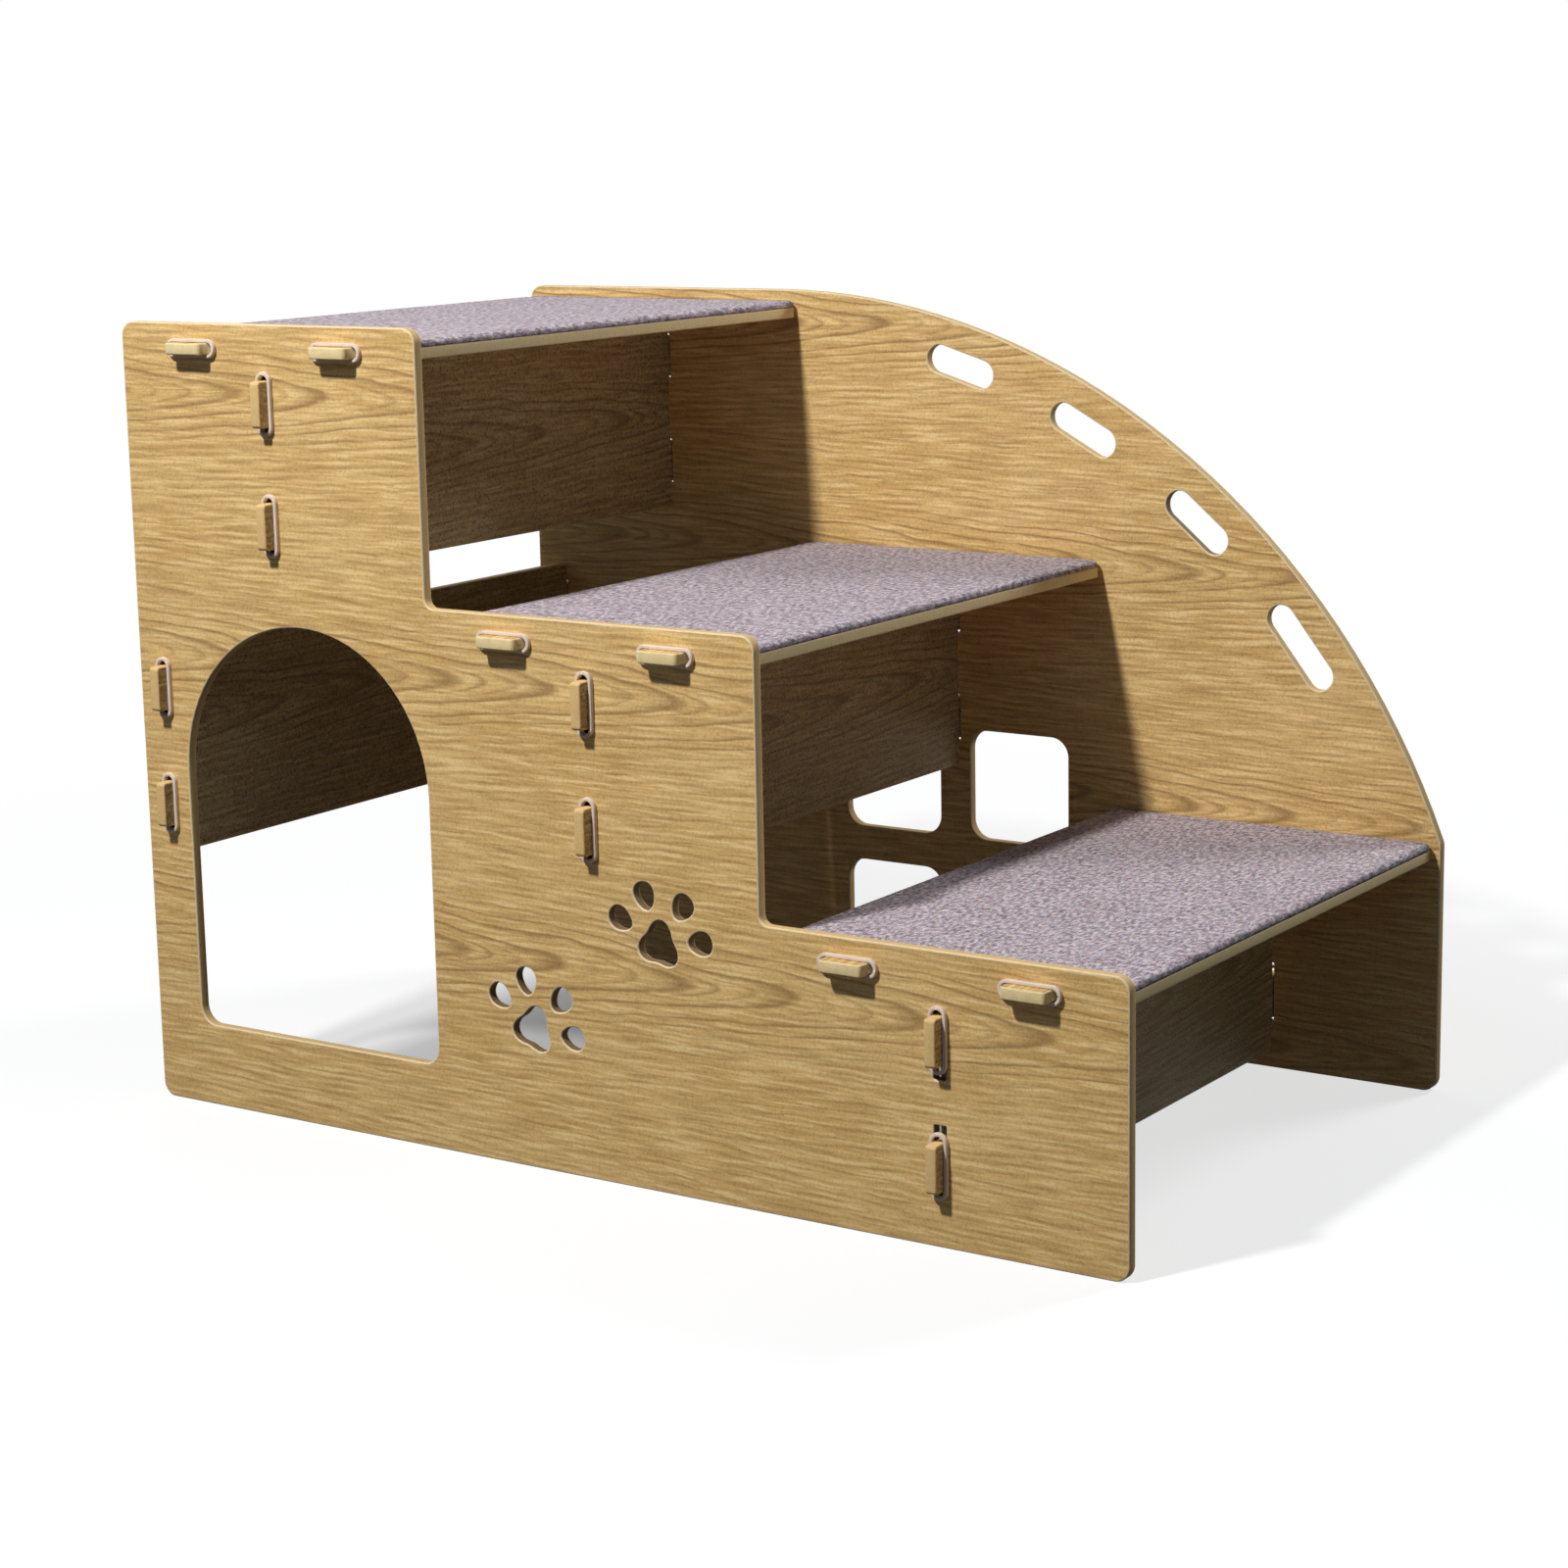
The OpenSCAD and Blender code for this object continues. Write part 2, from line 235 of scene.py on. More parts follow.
def makeOakPrint():
    tree, given, result = newGroup("oakPrint", [
        ("Place", "NodeSocketVector", (0, 0, 0)),      # along, across and through, metres
        ("Print size", "NodeSocketFloat", 0.14),
        ("Loop end", "NodeSocketFloat", 0.0),
        ("Loop row", "NodeSocketFloat", 0.0),
        ("Pale", "NodeSocketColor", (0.80, 0.60, 0.34, 1)),
        ("Middle", "NodeSocketColor", (0.66, 0.46, 0.20, 1)),
        ("Dark", "NodeSocketColor", (0.38, 0.24, 0.10, 1)),
    ], [("Color", "NodeSocketColor"), ("Height", "NodeSocketFloat"), ("Roughness", "NodeSocketFloat")])
    place = splitXyz(tree, given["Place"])
    along, across, through = place

    def times(first, second):
        return calc(tree, "MULTIPLY", first, second)

    def plus(first, second):
        return calc(tree, "ADD", first, second)

    def minus(first, second):
        return calc(tree, "SUBTRACT", first, second)

    def grainNoise(what, parts=place, detail=2.0):
        return noiseAt(tree, stretch(tree, parts, oakGrain[what]), detail=detail)

    # A slow wander and a finer ripple, so that no two loops are alike
    wander = minus(grainNoise("wander"), 0.5)
    ripple = minus(grainNoise("ripple"), 0.5)
    u = calc(tree, "DIVIDE", minus(along, given["Loop end"]), given["Print size"])
    v = calc(tree, "DIVIDE", minus(across, given["Loop row"]), given["Print size"])
    v = plus(plus(v, times(wander, oakGrain["rowWander"])), times(ripple, oakGrain["rowRipple"]))
    offRow = minus(v, calc(tree, "ROUND", v))
    spread = calc(tree, "DIVIDE", offRow, oakGrain["loopWidth"])
    bend = calc(tree, "SQRT", plus(times(spread, spread), 1.0))
    rings = plus(u, times(minus(bend, 1.0), oakGrain["loopReach"]))
    rings = plus(rings, times(wander, oakGrain["lineWander"]))
    phase = calc(tree, "FRACT", rings)
    # Two bold lines in each print, finer ones between them near the loops' axis
    line = ramp(tree, phase, [
        (0.0, 0.85), (0.035, 0.10), (0.06, 0.0), (0.41, 0.0), (0.48, 0.50), (0.53, 1.0), (0.57, 0.75),
        (0.61, 0.0), (0.86, 0.0), (0.93, 0.50), (0.98, 1.0), (1.0, 0.85),
    ])
    fine = ramp(tree, phase, [
        (0.0, 0.0), (0.12, 0.0), (0.165, 0.40), (0.19, 0.0), (0.27, 0.0), (0.335, 0.60), (0.36, 0.0),
        (0.635, 0.0), (0.68, 0.80), (0.705, 0.0), (0.77, 0.0), (0.815, 0.50), (0.84, 0.0),
    ])
    offRow = calc(tree, "ABSOLUTE", offRow)
    line = calc(tree, "MAXIMUM", line, times(fine, ramp(tree, offRow, [(0.03, 1.0), (0.09, 0.0)])))
    straight = ramp(tree, calc(tree, "FRACT", times(rings, 2.0)), [
        (0.0, 0.30), (0.14, 0.0), (0.46, 0.0), (0.72, 0.60), (0.86, 1.0), (1.0, 0.30),
    ])
    beside = ramp(tree, offRow, [(0.12, 0.0), (0.24, 1.0)])
    breaks = grainNoise("breaks")
    line = times(line, ramp(tree, breaks, [(0.28, 0.55), (0.48, 1.0)]))
    straight = times(straight, ramp(tree, breaks, [(0.36, 0.05), (0.62, 0.75)]))
    besideShare = plus(oakGrain["axisLine"], times(beside, oakGrain["besideLine"]))
    line = calc(tree, "ADD", times(line, minus(1.0, beside)), times(straight, besideShare), clamp=True)

    # Short dashes of the straight grain, dark and pale, then pores and slow clouds
    waves = plus(across, times(plus(wander, ripple), oakGrain["dashWander"]))
    dashes = grainNoise("dashes", (along, waves, through))
    darkDash = ramp(tree, dashes, [(0.52, 0.0), (0.62, 1.0)])
    paleDash = ramp(tree, dashes, [(0.38, 1.0), (0.47, 0.0)])
    pores = ramp(tree, grainNoise("pores", detail=1.0), [(0.60, 0.0), (0.72, 1.0)])
    clouds = ramp(tree, grainNoise("clouds", detail=3.0), [(0.30, 0.0), (0.70, 1.0)])

    colour = mixColour(tree, times(clouds, oakGrain["cloudShare"]), given["Middle"], given["Pale"])
    colour = mixColour(tree, paleDash, colour, given["Pale"])
    for mark, share in ((darkDash, "dashShare"), (line, "lineShare"), (pores, "poreShare")):
        colour = mixColour(tree, times(mark, oakGrain[share]), colour, given["Dark"])
    tree.links.new(colour, result["Color"])
    dip = plus(times(pores, oakGrain["poreDip"]), times(darkDash, oakGrain["dashDip"]))
    dip = plus(dip, times(line, oakGrain["lineDip"]))
    tree.links.new(minus(1.0, dip), result["Height"])
    least, more = oakGrain["dull"]
    rough = plus(least, times(clouds, more))
    tree.links.new(plus(rough, times(darkDash, more)), result["Roughness"])
    return tree


# Fine specks and pale flecks that every finish carries in its own strength
speckTones = {"dark": (0.02, 0.015, 0.012, 1), "pale": (1.0, 0.97, 0.93, 1)}


def makeSpecks():
    tree, given, result = newGroup("fineSpecks", [
        ("Place", "NodeSocketVector", (0, 0, 0)),
        ("Color", "NodeSocketColor", (0.5, 0.5, 0.5, 1)),
        ("Speck size", "NodeSocketFloat", 0.001),
        ("Darker", "NodeSocketFloat", 0.3),
        ("Paler", "NodeSocketFloat", 0.3),
    ], [("Color", "NodeSocketColor"), ("Height", "NodeSocketFloat")])
    scaled = addNode(tree, "ShaderNodeVectorMath", operation="SCALE")
    tree.links.new(given["Place"], scaled.inputs[0])
    tree.links.new(calc(tree, "DIVIDE", 1.0, given["Speck size"]), scaled.inputs["Scale"])
    grain = noiseAt(tree, scaled.outputs[0], roughness=0.6)
    low = calc(tree, "MULTIPLY", ramp(tree, grain, [(0.30, 1.0), (0.50, 0.0)]), given["Darker"])
    high = calc(tree, "MULTIPLY", ramp(tree, grain, [(0.50, 0.0), (0.70, 1.0)]), given["Paler"])
    colour = mixColour(tree, low, given["Color"], speckTones["dark"])
    colour = mixColour(tree, high, colour, speckTones["pale"])
    tree.links.new(colour, result["Color"])
    tree.links.new(grain, result["Height"])
    return tree


oakPrint = makeOakPrint()
fineSpecks = makeSpecks()

boardFinish = {
    "pale": (0.86, 0.605, 0.265, 1),
    "middle": (0.69, 0.435, 0.15, 1),
    "dark": (0.32, 0.175, 0.056, 1),
    "speckSize": 0.0013,         # metres
    "gloss": 0.25,
    "relief": (0.08, 0.0003),    # strength, and depth in metres
}
# The panels' cut edges, the cross boards' edges and tongue ends, the walls of slots and other
# narrow cut-outs (painted dark as their shade), the rounded corner along a cut edge (paler as a
# painted highlight), and the strip round a tread (paler, partly as painted light)
edgeFinish = {
    "boardCore": {"tone": (0.61, 0.415, 0.175, 1), "specks": 0.16, "flecks": 0.04},
    "crossEnd": {"tone": (0.73, 0.495, 0.205, 1), "specks": 0.12, "flecks": 0.06},
    # Walls of slots and small holes, painted dark as the shade inside them
    "slotWallPaintedShade": {"tone": (0.20, 0.125, 0.055, 1), "specks": 0.20, "flecks": 0.05},
    # Paler than the cut edge: a painted highlight along each rounded arris
    "boardArris": {"tone": (0.80, 0.62, 0.35, 1), "specks": 0.10, "flecks": 0.16},
    # Paler than the panels' cut edges, partly as painted light on the treads' front edges
    "treadBanding": {"tone": (0.80, 0.63, 0.32, 1), "specks": 0.10, "flecks": 0.10},
}
edgeFibres = {
    "counts": (260, 900, 260),   # per metre
    "shade": 0.72,               # a dark fibre's part of the tone
    "speckSize": 0.0007,         # metres
    "dull": (0.62, 0.2),         # roughness, and what a dark fibre adds
    "gloss": 0.2,
    "relief": (0.3, 0.0004),
}
# Each kind of board: the axes along, across and through it, the print's size and its loops' end
# and row in metres, and the board's own specks, tone and edge finish. The cross boards' darker,
# bluer tone is painted shade, and their heavier dark specks are partly fine specks and partly painted
# shade
printPlaces = {
    "nearPanel": {"axes": (0, 2, 1), "size": 0.1395, "end": -0.3000, "row": 0.1092,
                  "specks": 0.20, "flecks": 0.05, "tone": (1, 1, 1, 1), "edge": "boardCore"},
    "farPanel": {"axes": (0, 2, 1), "size": 0.1305, "end": 0.2155, "row": 0.1440,
                 "specks": 0.22, "flecks": 0.05, "tone": (1, 1, 1, 1), "edge": "boardCore"},
    # Here the tone and the heavy dark specks are painted shade of the boards under the treads
    "crossBoard": {"axes": (1, 2, 0), "size": 0.1395, "end": 0.05, "row": 0.070,
                   "specks": 0.60, "flecks": 0.12, "tone": (0.70, 0.77, 0.93, 1), "edge": "crossEnd"},
    "treadBoard": {"axes": (1, 0, 2), "size": 0.1395, "end": 0.02, "row": 0.030,
                   "specks": 0.20, "flecks": 0.05, "tone": (1, 1, 1, 1), "edge": "treadBanding"},
}


def printedBoard(kind, place):
    material, tree, shader, where = newMaterial(kind + "Print")
    parts = splitXyz(tree, where)
    turned = joinXyz(tree, *(parts[i] for i in place["axes"]))
    # The tone tints the print; for the cross boards it is painted shade
    pale, middle, dark = (tuple(part * share for part, share in zip(boardFinish[name], place["tone"]))
                          for name in ("pale", "middle", "dark"))
    wood = useGroup(tree, oakPrint, Place=turned, Printsize=place["size"], Loopend=place["end"],
                    Looprow=place["row"], Pale=pale, Middle=middle, Dark=dark)
    specks = useGroup(tree, fineSpecks, Place=where, Color=wood["Color"],
                      Specksize=boardFinish["speckSize"], Darker=place["specks"], Paler=place["flecks"])
    tree.links.new(specks["Color"], shader.inputs["Base Color"])
    tree.links.new(wood["Roughness"], shader.inputs["Roughness"])
    shader.inputs["Specular IOR Level"].default_value = boardFinish["gloss"]
    addBump(tree, wood["Height"], shader, *boardFinish["relief"])
    return material


def cutEdge(name, finish):
    material, tree, shader, where = newMaterial(name)
    fibres = noiseAt(tree, stretch(tree, splitXyz(tree, where), edgeFibres["counts"]), detail=3.0)
    tone = mixColour(tree, ramp(tree, fibres, [(0.35, 0.0), (0.65, 0.30)]), finish["tone"],
                     darker(finish["tone"], edgeFibres["shade"]))
    specks = useGroup(tree, fineSpecks, Place=where, Color=tone, Specksize=edgeFibres["speckSize"],
                      Darker=finish["specks"], Paler=finish["flecks"])
    tree.links.new(specks["Color"], shader.inputs["Base Color"])
    least, more = edgeFibres["dull"]
    rough = calc(tree, "ADD", least, calc(tree, "MULTIPLY", fibres, more))
    tree.links.new(rough, shader.inputs["Roughness"])
    shader.inputs["Specular IOR Level"].default_value = edgeFibres["gloss"]
    addBump(tree, fibres, shader, *edgeFibres["relief"])
    return material


boardPrints = {kind: printedBoard(kind, place) for kind, place in printPlaces.items()}
boardEdges = {name: cutEdge(name, finish) for name, finish in edgeFinish.items()}
print("stairs: board finishes made")


# Boards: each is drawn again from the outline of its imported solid, with rounded arrises
boardCut = {
    "arris": 0.0008,     # radius along every cut edge, metres
    "steps": 3,          # faces round each arris
    "narrow": 0.040,     # a cut-out smaller than this has walls painted dark as their shade
    "tongue": 0.180,     # beyond this from the middle a board is a tongue
    "weld": 1e-6,        # points nearer than this are one
    "level": 1e-5,       # a face this near the top is in it
}


def outlineLoops(node, axis):
    # Outlines of the face that looks along the axis, with the board on their left
    bm = bmesh.new()
    bm.from_mesh(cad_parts[node].data)
    bmesh.ops.remove_doubles(bm, verts=bm.verts, dist=boardCut["weld"])
    bm.normal_update()
    top = max(v.co[axis] for v in bm.verts) - boardCut["level"]
    # A list, so that every run walks the faces in the same order
    caps = [f for f in bm.faces if f.normal[axis] > 0.9 and f.calc_center_median()[axis] > top]
    capSet = set(caps)
    after = {}
    for face in caps:
        for corner in face.loops:
            if not any(f in capSet for f in corner.edge.link_faces if f is not face):
                after[corner.vert] = corner.link_loop_next.vert
    loops = []
    while after:
        start, vert = next(iter(after.items()))
        loop = [start]
        del after[start]
        while vert is not start:
            loop.append(vert)
            vert = after.pop(vert)
        flat = [Vector((v.co[(axis + 1) % 3], v.co[(axis + 2) % 3])) for v in loop]
        loops.append([p for i, p in enumerate(flat) if (p - flat[i - 1]).length > 2 * boardCut["weld"]])
    bm.free()
    return loops


def inwards(loop):
    # Direction at each point in which both of its sides move in by one
    moves = []
    for i, point in enumerate(loop):
        before = (point - loop[i - 1]).normalized()
        ahead = (loop[(i + 1) % len(loop)] - point).normalized()
        a, b = Vector((-before.y, before.x)), Vector((-ahead.y, ahead.x))
        moves.append((a + b) / (1 + a.dot(b)))
    return moves


def drawBoard(name, node, axis, printName):
    low, high = (corner[axis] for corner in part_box(node))
    wide, tall = (axis + 1) % 3, (axis + 2) % 3
    loops = outlineLoops(node, axis)
    r, steps = boardCut["arris"], boardCut["steps"]
    rise = [(r * (1 - math.sin(t)), r * (1 - math.cos(t)))
            for t in (k * math.pi / 2 / steps for k in range(steps + 1))]
    levels = [(inset, low + lift) for inset, lift in rise]
    levels += [(inset, high - lift) for inset, lift in reversed(rise)]
    printed, edge, corner, wall = range(4)      # the mesh's material slots; wall holds the painted shade of narrow cut-outs
    verts, faces, slots = [], [], []
    rings = []
    for loop in loops:
        moves = inwards(loop)
        rings.append([])
        for inset, height in levels:
            rings[-1].append(len(verts))
            for point, move in zip(loop, moves):
                flat = point + move * inset
                spot = [0, 0, 0]
                spot[axis], spot[wide], spot[tall] = height, flat.x, flat.y
                verts.append(spot)
        n = len(loop)
        # A small hole's walls take the dark finish that paints their shade
        narrow = all(max(p[a] for p in loop) - min(p[a] for p in loop) < boardCut["narrow"]
                     for a in (0, 1))
        for k in range(len(levels) - 1):
            for i in range(n):
                j = (i + 1) % n
                one, two = rings[-1][k], rings[-1][k + 1]
                faces.append((one + i, one + j, two + j, two + i))
                tongue = max(abs(verts[one + i][1]), abs(verts[one + j][1])) > boardCut["tongue"]
                slots.append((wall if narrow else edge) if k == steps or tongue else corner)
    for level, flip in ((0, True), (-1, False)):
        index = [ring[level] + i for ring, loop in zip(rings, loops) for i in range(len(loop))]
        flats = [[Vector((verts[ring[level] + i][wide], verts[ring[level] + i][tall], 0))
                  for i in range(len(loop))] for ring, loop in zip(rings, loops)]
        points = [p for flat in flats for p in flat]
        for a, b, c in tessellate_polygon(flats):
            turn = (points[b] - points[a]).cross(points[c] - points[a]).z
            if (turn < 0) != flip:
                b, c = c, b
            faces.append((index[a], index[b], index[c]))
            slots.append(printed)
    mesh = bpy.data.meshes.new(name)
    mesh.from_pydata(verts, [], faces)
    mesh.materials.append(boardPrints[printName])
    for finish in (printPlaces[printName]["edge"], "boardArris", "slotWallPaintedShade"):
        mesh.materials.append(boardEdges[finish])
    mesh.polygons.foreach_set("material_index", slots)
    mesh.polygons.foreach_set("use_smooth", [slot != printed for slot in slots])
    mesh.update()
    obj = newObject(name, mesh)
    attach(obj, "root")
    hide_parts(node)


# Name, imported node, axis through the board and print
boards = [
    ("nearSidePanel", "near_side_panel", 1, "nearPanel"),
    ("farSidePanel", "far_side_panel", 1, "farPanel"),
    ("topTreadBoard", "top_tread", 2, "treadBoard"),
    ("middleTreadBoard", "middle_tread", 2, "treadBoard"),
    ("bottomTreadBoard", "bottom_tread", 2, "treadBoard"),
    ("rearRailBoard", "rear_rail", 0, "crossBoard"),
    ("topRiserBoard", "top_riser", 0, "crossBoard"),
    ("middleRiserBoard", "middle_riser", 0, "crossBoard"),
    ("bottomRiserBoard", "bottom_riser", 0, "crossBoard"),
]
for row in boards:
    drawBoard(*row)
print("stairs: boards drawn")


# Carpets: short needled pile, mauve-grey heather, rounded along the top edge
carpetCloth = {
    "spacing": 0.0016,          # distance between the points of the top, metres
    "edge": 0.0016,             # radius of the top edge
    "corner": 0.005,            # radius of the four corners
    "room": 0.0003,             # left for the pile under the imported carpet's top
    "wave": (28, 0.00012),      # slow unevenness of the pile: count per metre, height
    "tuft": (520, 0.00016),     # single tufts
    "base": (0.285, 0.225, 0.257, 1),
    "thread": (0.63, 0.545, 0.575, 1),
    "shade": (0.075, 0.056, 0.060, 1),
    "blue": (0.26, 0.26, 0.36, 1),
    "rose": (0.44, 0.27, 0.27, 1),
    "fibres": (500, 250, 500),  # count per metre
    "yarns": 0.8,               # yarns for each fibre
    "mottle": 90,               # count per metre
    "threadShare": 0.90,
    "shadeShare": 0.92,
    "specks": {"Specksize": 0.0009, "Darker": 0.30, "Paler": 0.22},
    "dull": 0.95,
    "gloss": 0.1,
    "sheen": (0.10, 0.6),       # weight and roughness
    "relief": (0.8, 0.0008),    # strength, and depth in metres
}


def carpetMaterial():
    material, tree, shader, where = newMaterial("carpetHeather")
    fibre = stretch(tree, splitXyz(tree, where), carpetCloth["fibres"])
    fibres = noiseAt(tree, fibre, roughness=0.6)
    yarn = noiseAt(tree, fibre, carpetCloth["yarns"], 1.0)
    mottle = noiseAt(tree, where, carpetCloth["mottle"], 3.0)
    thread = ramp(tree, fibres, [(0.50, 0.0), (0.64, 1.0)])
    shade = ramp(tree, fibres, [(0.34, 1.0), (0.48, 0.0)])
    colour = carpetCloth["base"]
    for share, tone in (
        (ramp(tree, yarn, [(0.36, 0.8), (0.48, 0.0)]), "blue"),
        (ramp(tree, yarn, [(0.54, 0.0), (0.66, 0.8)]), "rose"),
        (calc(tree, "MULTIPLY", thread, carpetCloth["threadShare"]), "thread"),
        (calc(tree, "MULTIPLY", shade, carpetCloth["shadeShare"]), "shade"),
        (ramp(tree, mottle, [(0.35, 0.0), (0.65, 0.18)]), "thread"),
    ):
        colour = mixColour(tree, share, colour, carpetCloth[tone])
    specks = useGroup(tree, fineSpecks, Place=where, Color=colour, **carpetCloth["specks"])
    tree.links.new(specks["Color"], shader.inputs["Base Color"])
    shader.inputs["Roughness"].default_value = carpetCloth["dull"]
    shader.inputs["Specular IOR Level"].default_value = carpetCloth["gloss"]
    weight, roughness = carpetCloth["sheen"]
    shader.inputs["Sheen Weight"].default_value = weight
    shader.inputs["Sheen Roughness"].default_value = roughness
    addBump(tree, fibres, shader, *carpetCloth["relief"])
    return material


carpetHeather = carpetMaterial()


def cornerCut(x, y, halfX, halfY, r):
    # Moves a point of the square corner onto the round one
    overX, overY = abs(x) - (halfX - r), abs(y) - (halfY - r)
    if overX <= 0 or overY <= 0:
        return x, y
    shrink = max(overX, overY) / math.hypot(overX, overY)
    return (math.copysign(halfX - r + overX * shrink, x), math.copysign(halfY - r + overY * shrink, y))


def layCarpet(name, node):
    low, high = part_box(node)
    half = (high - low) / 2
    middle = (high + low) / 2
    r = carpetCloth["edge"]
    waves, waveHeight = carpetCloth["wave"]
    tufts, tuftHeight = carpetCloth["tuft"]
    nx = round(2 * half.x / carpetCloth["spacing"])
    ny = round(2 * half.y / carpetCloth["spacing"])
    bm = bmesh.new()
    grid = []
    for i in range(nx + 1):
        grid.append([])
        for j in range(ny + 1):
            x, y = half.x * (2 * i / nx - 1), half.y * (2 * j / ny - 1)
            depth = min(half.x - abs(x), half.y - abs(y))
            x, y = cornerCut(x, y, half.x, half.y, carpetCloth["corner"])
            drop = r - math.sqrt(max(0.0, r * r - max(0.0, r - depth) ** 2))
            spot = Vector((x + middle.x, y + middle.y, 0))
            pile = noise.noise(spot * waves) * waveHeight + noise.noise(spot * tufts) * tuftHeight
            z = high.z - carpetCloth["room"] - drop + pile * min(1, depth / r)
            grid[-1].append(bm.verts.new((spot.x, spot.y, z)))
    for i in range(nx):
        for j in range(ny):
            bm.faces.new((grid[i][j], grid[i + 1][j], grid[i + 1][j + 1], grid[i][j + 1]))
    rim = [grid[i][0] for i in range(nx)] + [grid[nx][j] for j in range(ny)]
    rim += [grid[i][ny] for i in range(nx, 0, -1)] + [grid[0][j] for j in range(ny, 0, -1)]
    last = rim
    for share in (0.5, 1.0):
        ring = []
        for top in rim:
            z = top.co.z + (low.z - top.co.z) * share
            ring.append(bm.verts.new((top.co.x, top.co.y, z)))
        for k in range(len(rim)):
            m = (k + 1) % len(rim)
            bm.faces.new((last[m], last[k], ring[k], ring[m]))
        last = ring
    bm.faces.new(list(reversed(last)))
    for face in bm.faces:
        face.smooth = True
    mesh = bpy.data.meshes.new(name)
    bm.to_mesh(mesh)
    bm.free()
    mesh.materials.append(carpetHeather)
    obj = newObject(name, mesh)
    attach(obj, "root")
    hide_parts(node)


layCarpet("topStepCarpet", "top_carpet")
layCarpet("middleStepCarpet", "middle_carpet")
layCarpet("bottomStepCarpet", "bottom_carpet")
print("stairs: carpets laid")


# Lock collars: one moulded ring, set by Geometry Nodes on every tongue
collarMould = {
    "wall": 0.0018,             # metres
    "round": 0.00045,           # radius of the ring's own edges
    "bendPoints": 12,           # round each corner of the ring
    "edgePoints": 3,            # round each corner of its wall
    "base": (0.76, 0.63, 0.52, 1),
    "cloudShade": 0.86,
    "cloudCount": 60,           # per metre
    "specks": {"Specksize": 0.0005, "Darker": 0.08, "Paler": 0.10},
    "dull": (0.45, 0.12),       # roughness, and what a dark cloud adds
    "gloss": 0.15,
    "relief": (0.12, 0.0002),
}


def collarMaterial():
    material, tree, shader, where = newMaterial("collarPlastic")
    cloud = noiseAt(tree, where, collarMould["cloudCount"])
    base = collarMould["base"]
    colour = mixColour(tree, ramp(tree, cloud, [(0.3, 0.0), (0.7, 0.35)]), base,
                       darker(base, collarMould["cloudShade"]))
    specks = useGroup(tree, fineSpecks, Place=where, Color=colour, **collarMould["specks"])
    tree.links.new(specks["Color"], shader.inputs["Base Color"])
    least, more = collarMould["dull"]
    rough = calc(tree, "ADD", least, calc(tree, "MULTIPLY", cloud, more))
    tree.links.new(rough, shader.inputs["Roughness"])
    shader.inputs["Specular IOR Level"].default_value = collarMould["gloss"]
    addBump(tree, specks["Height"], shader, *collarMould["relief"])
    return material


collarPlastic = collarMaterial()


def collarTree():
    tree = bpy.data.node_groups.new("collarOnTongue", "GeometryNodeTree")
    face = tree.interface
    face.new_socket(name="Tongues", in_out="INPUT", socket_type="NodeSocketGeometry")
    for title in ("Length", "Width", "Wall", "Depth", "Edge radius"):
        face.new_socket(name=title, in_out="INPUT", socket_type="NodeSocketFloat")
    face.new_socket(name="Plastic", in_out="INPUT", socket_type="NodeSocketMaterial")
    face.new_socket(name="Collars", in_out="OUTPUT", socket_type="NodeSocketGeometry")
    given = addNode(tree, "NodeGroupInput").outputs
    result = addNode(tree, "NodeGroupOutput").inputs

    def rounded(width, height, radius, count):
        shape = addNode(tree, "GeometryNodeCurvePrimitiveQuadrilateral")
        plug(tree, width, shape.inputs["Width"])
        plug(tree, height, shape.inputs["Height"])
        fillet = addNode(tree, "GeometryNodeFilletCurve", mode="POLY")
        tree.links.new(shape.outputs[0], fillet.inputs["Curve"])
        fillet.inputs["Count"].default_value = count
        fillet.inputs["Limit Radius"].default_value = True
        plug(tree, radius, fillet.inputs["Radius"])
        return fillet.outputs[0]

    midLength = calc(tree, "SUBTRACT", given["Length"], given["Wall"])
    midWidth = calc(tree, "SUBTRACT", given["Width"], given["Wall"])
    path = rounded(midLength, midWidth, calc(tree, "DIVIDE", midWidth, 2.0), collarMould["bendPoints"])
    section = rounded(given["Wall"], given["Depth"], given["Edge radius"], collarMould["edgePoints"])
    ring = addNode(tree, "GeometryNodeCurveToMesh")
    tree.links.new(path, ring.inputs["Curve"])
    tree.links.new(section, ring.inputs["Profile Curve"])
    turn = addNode(tree, "GeometryNodeInputNamedAttribute", data_type="FLOAT")
    turn.inputs["Name"].default_value = "quarterTurn"
    stand = joinXyz(tree, math.pi / 2, turn.outputs["Attribute"], 0.0)
    place = addNode(tree, "GeometryNodeInstanceOnPoints")
    tree.links.new(given["Tongues"], place.inputs["Points"])
    tree.links.new(ring.outputs[0], place.inputs["Instance"])
    tree.links.new(stand, place.inputs["Rotation"])
    real = addNode(tree, "GeometryNodeRealizeInstances")
    tree.links.new(place.outputs[0], real.inputs[0])
    smooth = addNode(tree, "GeometryNodeSetShadeSmooth")
    tree.links.new(real.outputs[0], smooth.inputs[0])
    paint = addNode(tree, "GeometryNodeSetMaterial")
    tree.links.new(smooth.outputs[0], paint.inputs["Geometry"])
    tree.links.new(given["Plastic"], paint.inputs["Material"])
    tree.links.new(paint.outputs[0], result[0])
    return tree


def ringMiddles(node, long):
    # Middle and size of each of the two rings in a collar node, which lie apart along x or z
    low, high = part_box(node)
    halves = [[], []]
    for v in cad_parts[node].data.vertices:
        halves[v.co[long] > (low[long] + high[long]) / 2].append(v.co)
    spots = []
    for half in halves:
        spot = Vector([(min(c[k] for c in half) + max(c[k] for c in half)) / 2 for k in range(3)])
        size = [max(c[k] for c in half) - min(c[k] for c in half) for k in range(3)]
        spots.append((spot, size))
    return spots


